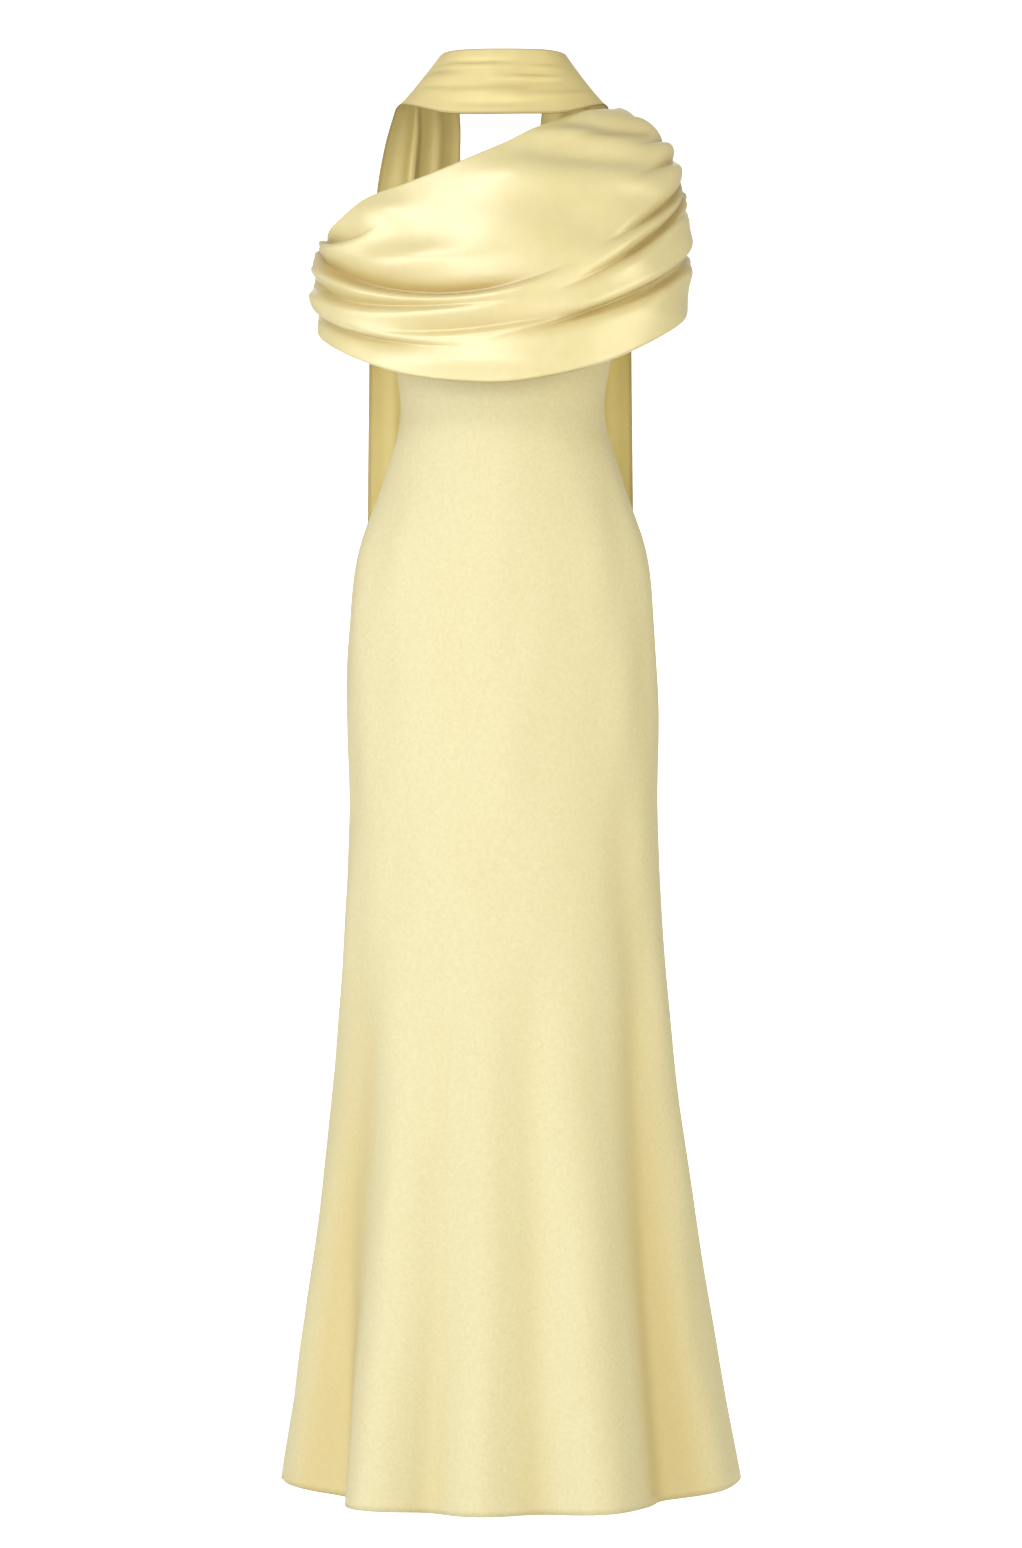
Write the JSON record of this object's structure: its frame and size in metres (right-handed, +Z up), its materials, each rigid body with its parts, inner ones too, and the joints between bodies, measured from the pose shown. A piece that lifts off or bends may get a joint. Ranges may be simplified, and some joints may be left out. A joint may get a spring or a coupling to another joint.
{
  "type": "scarf-neck satin evening gown",
  "caption": "Floor-length satin gown with a gathered drape across one shoulder and a neck scarf whose two ends hang down the back.",
  "frame": {"origin": "centre of the neck's base, where the scarf rests on the wearer's shoulders and holds the gown", "axes": "+Z up, +X to the wearer's left, -Y to the front"},
  "size_m": [0.5139, 0.412, 1.5934],
  "materials": {
    "crepe_satin": "dull crepe satin",
    "drape_satin": "bright satin",
    "scarf_satin": "bright satin"
  },
  "bodies": {
    "root": {"gown_front": "crepe_satin", "gown_back": "crepe_satin", "drape_front": "drape_satin", "drape_back": "drape_satin", "scarf_neck": "scarf_satin", "scarf_tail_left": "scarf_satin", "scarf_tail_right": "scarf_satin"}
  },
  "joints": []
}
